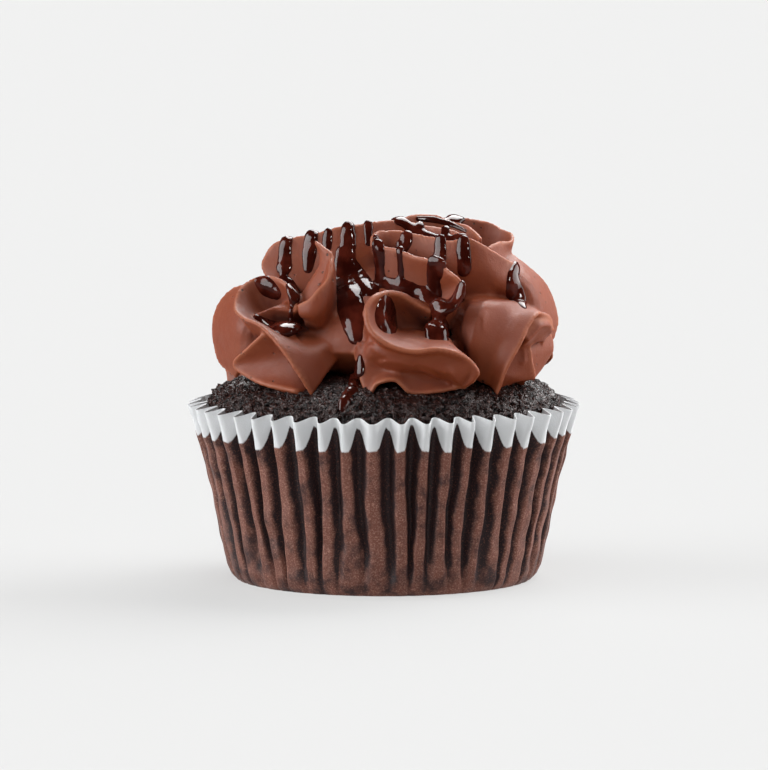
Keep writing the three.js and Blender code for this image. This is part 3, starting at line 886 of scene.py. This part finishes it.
# each run: across, up and how wide, as the camera sees it on the upright plane through the axis
sauceRuns = {
    "wallFirst": [(-17.6, 61.2, 2), (-17.7, 58.8, 2.8), (-17.8, 57.2, 2.8), (-17.9, 55.6, 3.4)],
    "wallSecond": [(-13, 62.4, 2.2), (-13.2, 60, 3), (-13.4, 57.6, 3), (-13.6, 55.4, 2)],
    "wallThird": [(-10, 62, 2), (-10.2, 60.4, 2.4), (-10.2, 58.6, 1.8)],
    "wallFourth": [(-6.4, 63.4, 2.2), (-6.4, 61, 3.2), (-6.4, 57.8, 3)],
    "wallFifth": [(-2.8, 63.4, 2), (-2.8, 62, 2), (-2.8, 60, 1.6)],
    "crestLine": [(6, 64.4, 1.4), (9, 64.2, 1.6), (12, 63.4, 1.4), (14.6, 62.2, 1)],
    "crestLeft": [(6.4, 64, 1.6), (6.4, 62.8, 2), (6.2, 61.6, 1.4)],
    "crestRight": [(11, 63.6, 1.6), (11, 62.4, 2), (11, 61.2, 1.4)],
    "flow": [(-7.6, 58.6, 2.4), (-7.2, 56.4, 3.6), (-6.8, 53.4, 4.8), (-6.2, 49.8, 5.4), (-5.6, 46.2, 4.6),
             (-5.1, 43.2, 3)],
    "flowTop": [(-7, 57.4, 2.8), (-5.4, 54.8, 4), (-3.8, 52.6, 4.2), (-2.4, 51.4, 3.6)],
    "faceLeft": [(-1.4, 61, 1.8), (-1, 58.8, 2.6), (-0.8, 55.6, 2.6), (-0.6, 52.8, 3)],
    "faceMiddle": [(2.8, 59.8, 2), (2.8, 57.8, 1.6), (3, 55.2, 1.6), (3, 52.8, 1.8)],
    "faceRight": [(9, 57.4, 2.4), (8.8, 55.2, 3), (9, 52.4, 3.2), (9.4, 50.2, 3.2)],
    "facePool": [(0, 53, 2.4), (1.8, 52.4, 3), (4.4, 51.8, 3.2), (7.2, 51, 3.2)],
    "curl": [(7.8, 50.4, 3.6), (9.4, 48.8, 4), (11.4, 48.8, 4), (13, 50.4, 3.4), (13.8, 52.4, 2)],
    "curlDrip": [(9.8, 48.4, 4), (9.6, 46.6, 3), (9.6, 44.6, 4.6), (9.6, 43, 4.8)],
    "finLeft": [(10, 60.6, 2.4), (10, 58.4, 3), (9.6, 55.6, 3.2), (9.6, 54.6, 2.6)],
    "finRight": [(14.2, 60.4, 2.6), (14.2, 58.4, 2.8), (14.4, 56, 3), (14.2, 55, 2.6)],
    "archDrip": [(4, 61.2, 2.8), (4, 60.4, 2.6), (3.8, 59, 1.6)],
    "wellDrop": [(0.2, 49, 5), (0.3, 47.4, 7.6), (0.4, 45.4, 7)],
    "cupPool": [(-22.4, 46.4, 2.4), (-20.6, 45.4, 4.2), (-18.4, 44.8, 5.4), (-16.2, 45.4, 4)],
    "cupTop": [(-22.6, 53, 2), (-21, 52.2, 4), (-19.4, 51.2, 3)],
    "cupBlob": [(-18, 53.6, 2), (-16.6, 52.2, 3.2), (-16, 50.6, 2.6), (-16.6, 48.8, 1.2),
                (-16.8, 46.6, 1.2)],
    "lobeDrip": [(23.8, 55.8, 2.4), (23.2, 53.4, 3.8), (23.4, 51.2, 4.4), (24.2, 49.6, 3),
                 (25.2, 48.4, 1.4)],
    "trickle": [(-4.3, 39.6, 1.6), (-4.5, 37.6, 2.4), (-4.8, 35.6, 3), (-5.2, 34.2, 2.8)],
    "cakeDribble": [(-5.2, 34.4, 2.4), (-6, 32.8, 2.8), (-6.9, 31.2, 2.6), (-7.6, 30.2, 1.4)],
}

# runs poured from above: across, back and how wide
crownRuns = [
    [(-17.6, -4.4, 2.2), (-16.6, -2, 3), (-15, 1, 2.8), (-10, 3, 4.2), (-4, 4, 3.6), (2, 4, 3.6),
     (8, 6, 3.4), (13, 5, 2.4)],
    [(-13, -5.4, 2.2), (-12, -3, 3), (-9, 0, 3)],
    [(-6.4, -6, 2.4), (-6, -3, 3), (-3, -1, 3), (3, -3, 2.6), (9, -5, 2.4), (14, -6, 1.8)],
    [(-12, 9, 2.8), (-6, 9, 4.2), (0, 10, 4), (6, 12, 4.2), (11, 12, 2.8)],
    [(-4, 5, 3.4), (-5, 11, 4), (-7, 16, 3.6), (-8, 20, 3)],
    [(4, 5, 3.4), (5, 11, 4.2), (4, 17, 3.6), (5, 21, 2.8)],
    [(12, 6, 3), (15, 11, 4), (17, 15, 3)],
    [(-11, 3, 3), (-16, 7, 4), (-20, 9, 2.8)],
]

# the runs that are laid again on the folds repeated at the back, turned by so many degrees
turnedRuns = [(155, ("cupPool", "cupTop", "cupBlob", "faceLeft", "faceMiddle", "faceRight", "facePool",
                     "curl", "curlDrip", "wellDrop", "finLeft"))]


def findPlaces(points, degrees, carriers, above):       # where a run's rays first meet what carries it
    turn = Matrix.Rotation(math.radians(degrees), 3, "Z")
    places = [Vector(point) for point in points]
    length = sum((b - a).to_2d().length for a, b in zip(places, places[1:]))
    count = max(int(length / sauce["step"]), 2)
    hits = []
    for i in range(count + 1):
        across, up, width = pointAlong(places, i / count)
        eye = Vector((across, up, sauce["pourHeight"])) * mm if above else turn @ Vector(camera["place"])
        aim = Vector((across, up, 0)) * mm if above else turn @ Vector((across, 0, up)) * mm
        met = [hit for hit in (tree.ray_cast(eye, (aim - eye).normalized()) for tree in carriers) if hit[0]]
        if met:
            place, normal = min(met, key=lambda hit: hit[3])[:2]
            hits.append((place, normal, width / 2 * random.uniform(*sauce["widthSpread"])))
    return hits


def copyOf(piece, placing):
    copy = piece.copy()
    copy.data = piece.data.copy()
    copy.data.transform(placing)
    bpy.context.collection.objects.link(copy)
    return copy


def layRun(points, degrees, carriers, drop, above=False):       # flat drops, leaning as their neighbours do
    hits = findPlaces(points, degrees, carriers, above)
    beside = sauce["neighbours"]
    drops = []
    for i, (place, normal, half) in enumerate(hits):
        near = [other[1] for other in hits[max(i - beside, 0):i + beside + 1]
                if (other[0] - place).length < sauce["reach"] * mm]
        if len(near) < sauce["company"]:
            continue
        lean = sum(near, Vector()).normalized()
        stand = Matrix.Diagonal((half, half, half * sauce["flat"], 1)) @ Matrix.Scale(mm, 4)
        drops.append(copyOf(drop, Matrix.Translation(place - lean * half * sauce["sunk"] * mm)
                            @ lean.to_track_quat("Z", "Y").to_matrix().to_4x4() @ stand))
    return drops


def makeSauce(carrierPieces):
    graph = bpy.context.evaluated_depsgraph_get()
    carriers = [BVHTree.FromObject(piece, graph) for piece in carrierPieces]
    bpy.ops.object.select_all(action="DESELECT")
    bpy.ops.mesh.primitive_ico_sphere_add(subdivisions=2, radius=1)
    drop = bpy.context.active_object
    placed = [(points, 0) for points in sauceRuns.values()]
    placed += [(sauceRuns[name], degrees) for degrees, names in turnedRuns for name in names]
    drops = [copy for points, degrees in placed for copy in layRun(points, degrees, carriers, drop)]
    drops += [copy for points in crownRuns for copy in layRun(points, 0, carriers, drop, above=True)]
    bpy.data.objects.remove(drop)
    piece = joinPieces(drops, "chocolateSauce")
    meltTogether(piece, sauce)
    giveMaterial(piece, sauceMaterial())
    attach(piece, "root")
    print("sauce:", len(drops), "drops,", len(piece.data.polygons), "faces")


# loose crumbs where the cake lies bare

crumbs = {
    "count": 700,               # tried, and those that would fall on the frosting are left out
    "band": (17.0, 31.2),       # distances from the axis between which they lie
    "halfWidths": (0.2, 0.55),
    "lumpScale": 1.3,           # of the noise that makes a crumb uneven
    "uneven": 0.6,
    "noiseStep": 3.7,           # from crumb to crumb, so that no two are alike
    "sunk": 0.35,               # share of its half width that a crumb sits in the cake
    "dropHeight": 80,
}


def makeCrumbs(cakePiece, frostingPiece):
    graph = bpy.context.evaluated_depsgraph_get()
    bare, covered = (BVHTree.FromObject(piece, graph) for piece in (cakePiece, frostingPiece))
    bpy.ops.object.select_all(action="DESELECT")
    bpy.ops.mesh.primitive_ico_sphere_add(subdivisions=2, radius=1)
    ball = bpy.context.active_object
    inner, outer = crumbs["band"]
    down = Vector((0, 0, -1))
    copies = []
    for i in range(crumbs["count"]):
        angle = random.uniform(0, fullTurn)
        reach = math.sqrt(random.uniform(inner ** 2, outer ** 2))
        half = random.uniform(*crumbs["halfWidths"])
        start = Vector((math.cos(angle) * reach, math.sin(angle) * reach, crumbs["dropHeight"])) * mm
        place, normal = bare.ray_cast(start, down)[:2]
        if place is None or covered.ray_cast(start, down)[0] is not None:
            continue
        crumb = copyOf(ball, Matrix())
        shift = Vector((i * crumbs["noiseStep"], 0, 0))
        for vertex in crumb.data.vertices:
            vertex.co *= 1 + noise.noise(vertex.co * crumbs["lumpScale"] + shift) * crumbs["uneven"]
        sunk = Matrix.Translation(place - normal * half * crumbs["sunk"] * mm)
        crumb.data.transform(sunk @ Matrix.Scale(half * mm, 4))
        copies.append(crumb)
    bpy.data.objects.remove(ball)
    piece = joinPieces(copies, "looseCrumbs")
    giveMaterial(piece, cakePiece.data.materials[0])
    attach(piece, "root")
    print("crumbs:", len(copies), "crumbs,", len(piece.data.polygons), "faces")


makeStudio()
makePaperCase()
cakePiece = makeCake()
frostingPiece = makeFrosting()
makeSauce([frostingPiece, cakePiece])
makeCrumbs(cakePiece, frostingPiece)
